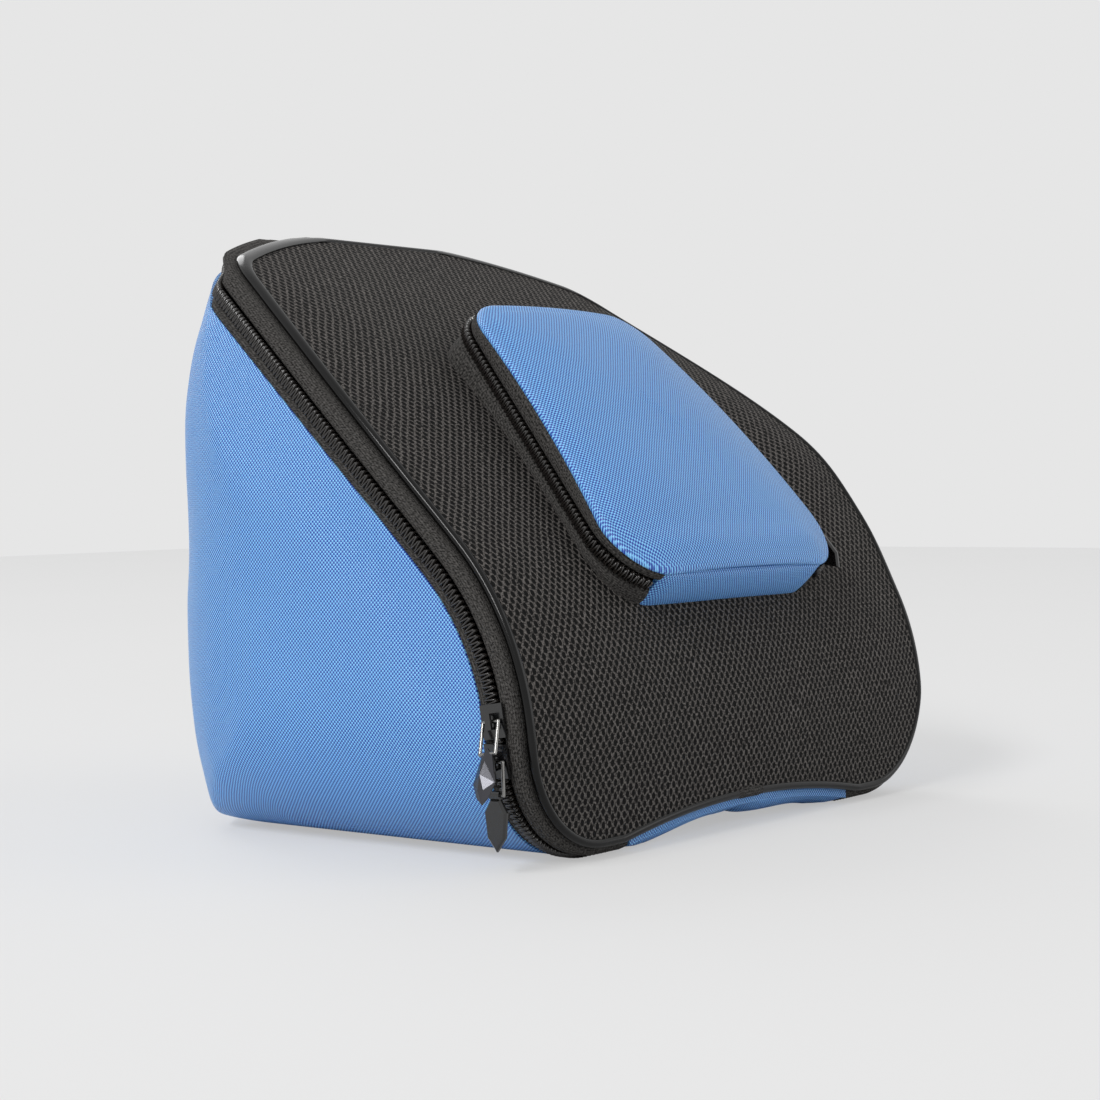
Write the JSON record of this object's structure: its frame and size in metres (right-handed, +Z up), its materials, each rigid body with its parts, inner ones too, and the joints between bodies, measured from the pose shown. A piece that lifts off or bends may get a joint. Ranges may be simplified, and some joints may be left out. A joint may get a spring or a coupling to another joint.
{
  "type": "wedge carry bag",
  "caption": "Wedge-shaped zip-up carry bag with padded fabric body, curved mesh lid, piped zipper band and a padded zip pocket on the lid.",
  "frame": {"origin": "middle of the flat underside's footprint, half way between the lid's front and the back, in the plane that the bag stands on", "axes": "+X to the right when looking at the lid, +Y from the lid's front to the back, +Z up"},
  "size_m": [0.2683, 0.2017, 0.2191],
  "materials": {
    "blue_fabric": "woven polyester, satin",
    "foam": "closed-cell foam, matt",
    "black_lining": "plain woven lining, matt",
    "black_mesh": "open hexagonal spacer mesh, matt",
    "black_piping": "glossy vinyl piping",
    "zip_tape": "ribbed woven zipper tape, matt",
    "zip_coil": "moulded nylon coil, satin",
    "board": "extruded polyethylene sheet, matt",
    "slider_metal": "black lacquered die-cast zinc",
    "bail_wire": "black nickel plated wire",
    "pull_plate": "black lacquered die-cast zinc",
    "faceted_pull": "gunmetal lacquered die-cast zinc, glossy"
  },
  "bodies": {
    "base": {"left_side_panel": "blue_fabric", "back_panel": "blue_fabric", "right_side_panel": "blue_fabric", "bottom_panel": "blue_fabric", "left_side_foam": "foam", "back_foam": "foam", "right_side_foam": "foam", "bag_lining": "black_lining", "lid_hinge_strip": "blue_fabric", "base_board": "board", "base_zip_tape": "zip_tape", "base_zip_coil": "zip_coil"},
    "lid": {"lid_mesh_panel": "black_mesh", "lid_lining": "black_lining", "lid_piping": "black_piping", "lid_zip_tape": "zip_tape", "lid_zip_coil": "zip_coil", "pocket_wall_tape": "zip_tape", "pocket_lower_coil": "zip_coil", "pocket_hinge_wall": "blue_fabric"},
    "pocket_cover": {"pocket_upper_coil": "zip_coil", "pocket_upper_tape": "zip_tape", "pocket_cover_fabric": "blue_fabric", "pocket_cover_foam": "foam", "pocket_cover_lining": "black_lining"},
    "upper_slider": {"upper_slider_body": "slider_metal", "upper_slider_cap": "slider_metal"},
    "upper_pull": {"upper_pull_bail": "bail_wire", "upper_pull_tab": "faceted_pull"},
    "lower_slider": {"lower_slider_body": "slider_metal", "lower_slider_cap": "slider_metal"},
    "lower_pull": {"lower_pull_bail": "bail_wire", "lower_pull_tab": "pull_plate"},
    "pocket_slider": {"pocket_slider_body": "slider_metal", "pocket_slider_cap": "slider_metal"},
    "pocket_pull": {"pocket_pull_bail": "bail_wire", "pocket_pull_tab": "pull_plate"}
  },
  "joints": [
    {"name": "lid_hinge", "type": "hinge", "parent": "base", "child": "lid", "pos_m": [0, -0.098, 0], "axis": [1, 0, 0], "range_deg": [0, 90]},
    {"name": "pocket_hinge", "type": "hinge", "parent": "lid", "child": "pocket_cover", "pos_m": [0, -0.09765, 0.09044], "axis": [1, 0, 0], "range_deg": [0, 140]},
    {"name": "upper_slider_run", "type": "hinge", "parent": "base", "child": "upper_slider", "pos_m": [0, 0.002, 0.034], "axis": [-1, 0, 0], "range_deg": [0, 32]},
    {"name": "lower_slider_run", "type": "hinge", "parent": "base", "child": "lower_slider", "pos_m": [-0.086, 0, 0.042], "axis": [0, -1, 0], "range_deg": [0, 50]},
    {"name": "pocket_slider_run", "type": "slide", "parent": "lid", "child": "pocket_slider", "axis": [-0.1717, 0.6721, 0.7203], "range_m": [0, 0.077]},
    {"name": "upper_pull_swing", "type": "hinge", "parent": "upper_slider", "child": "upper_pull", "pos_m": [-0.12985, -0.08538, 0.04805], "axis": [0, 0.9873, -0.1588], "range_deg": [0, 110]},
    {"name": "lower_pull_swing", "type": "hinge", "parent": "lower_slider", "child": "lower_pull", "pos_m": [-0.12934, -0.08648, 0.03534], "axis": [0.0033, 0.9998, -0.0215], "range_deg": [0, 28]},
    {"name": "pocket_pull_swing", "type": "hinge", "parent": "pocket_slider", "child": "pocket_pull", "pos_m": [0.06872, -0.07191, 0.11011], "axis": [0, -0.7311, 0.6822], "range_deg": [0, 130]}
  ]
}
